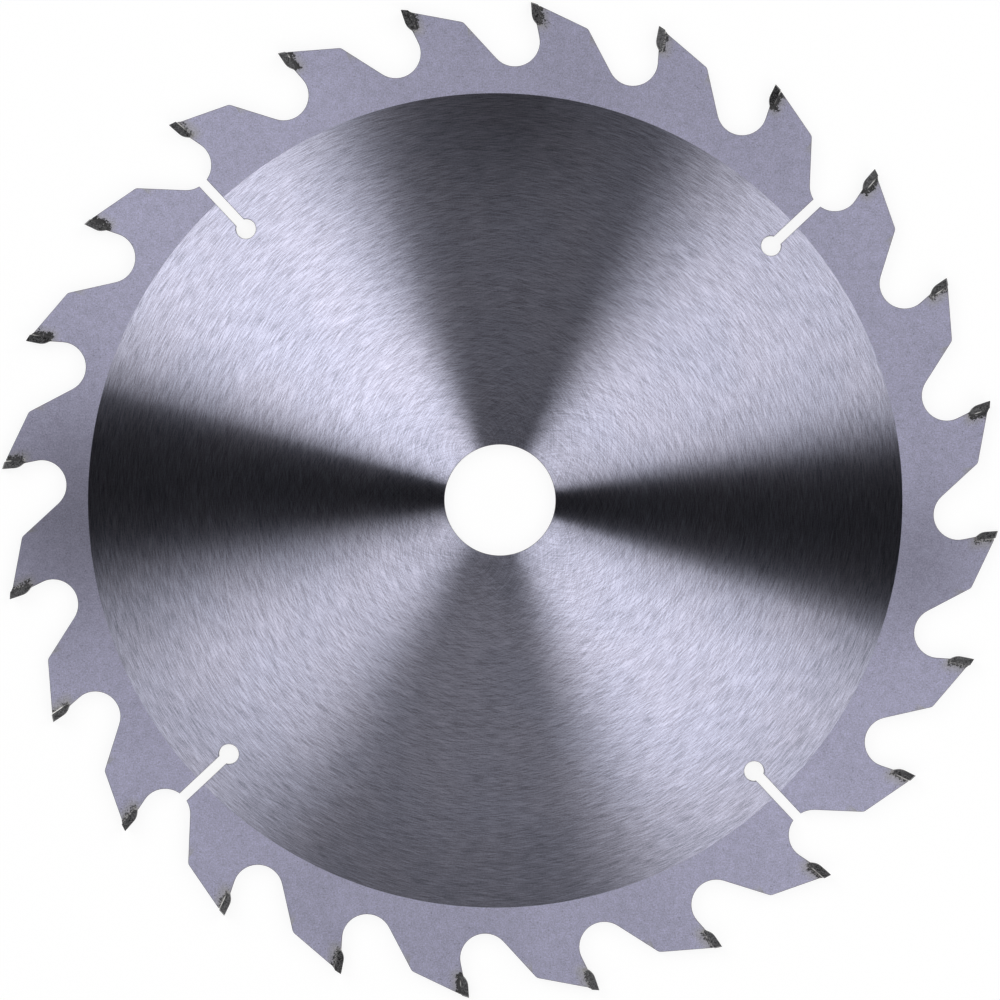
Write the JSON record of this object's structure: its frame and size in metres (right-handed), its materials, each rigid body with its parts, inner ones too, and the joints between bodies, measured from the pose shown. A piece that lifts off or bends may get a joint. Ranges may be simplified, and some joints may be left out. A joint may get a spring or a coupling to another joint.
{
  "type": "circular saw blade",
  "caption": "Flat round saw blade with carbide tips brazed into hooked teeth, round gullets, expansion slots with drilled ends and a plain arbor bore.",
  "frame": {"origin": "centre of the bore at half the plate's thickness, which is also the centre of the blade's box", "axes": "+Z along the arbor axis, and the tips face anticlockwise seen from +Z; +X to the right and +Y up in the picture"},
  "size_m": [0.1796, 0.1796, 0.0026],
  "materials": {
    "plate_steel": "circular ground disc with a sandblasted toothed rim",
    "carbide": "dark grey sintered carbide, ground"
  },
  "bodies": {
    "root": {"saw_plate": "plate_steel", "carbide_tip_01": "carbide", "carbide_tip_02": "carbide", "carbide_tip_03": "carbide", "carbide_tip_04": "carbide", "carbide_tip_05": "carbide", "carbide_tip_06": "carbide", "carbide_tip_07": "carbide", "carbide_tip_08": "carbide", "carbide_tip_09": "carbide", "carbide_tip_10": "carbide", "carbide_tip_11": "carbide", "carbide_tip_12": "carbide", "carbide_tip_13": "carbide", "carbide_tip_14": "carbide", "carbide_tip_15": "carbide", "carbide_tip_16": "carbide", "carbide_tip_17": "carbide", "carbide_tip_18": "carbide", "carbide_tip_19": "carbide", "carbide_tip_20": "carbide", "carbide_tip_21": "carbide", "carbide_tip_22": "carbide", "carbide_tip_23": "carbide", "carbide_tip_24": "carbide"}
  },
  "joints": []
}
